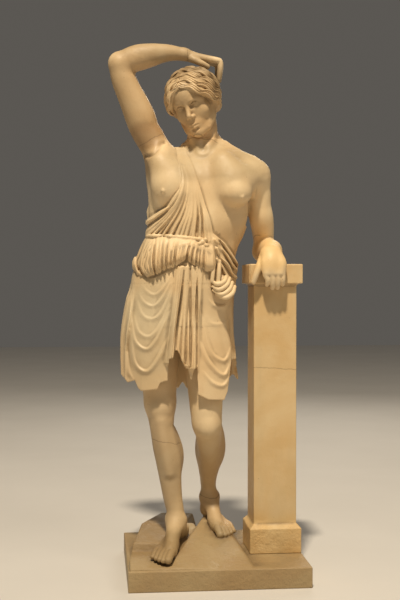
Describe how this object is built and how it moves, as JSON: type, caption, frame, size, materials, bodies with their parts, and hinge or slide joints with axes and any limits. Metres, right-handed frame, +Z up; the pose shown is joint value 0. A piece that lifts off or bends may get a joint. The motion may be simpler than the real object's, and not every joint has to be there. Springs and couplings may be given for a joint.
{
  "type": "amazon statue",
  "caption": "Life-size marble figure of a wounded Amazon in a short belted tunic, right arm laid over the head, left forearm resting on a squared pillar, on a rocky slab.",
  "frame": {"origin": "middle of the slab's underside", "axes": "+Z up, the figure faces -Y, +X towards the pillar at the figure's left hand"},
  "size_m": [0.7597, 0.62, 2.0875],
  "materials": {
    "marble": "weathered greyish cream marble, matte to satin",
    "yellow_marble": "warm yellow marble, satin"
  },
  "bodies": {
    "root": {"figure": "marble", "pillar": "yellow_marble"}
  },
  "joints": []
}
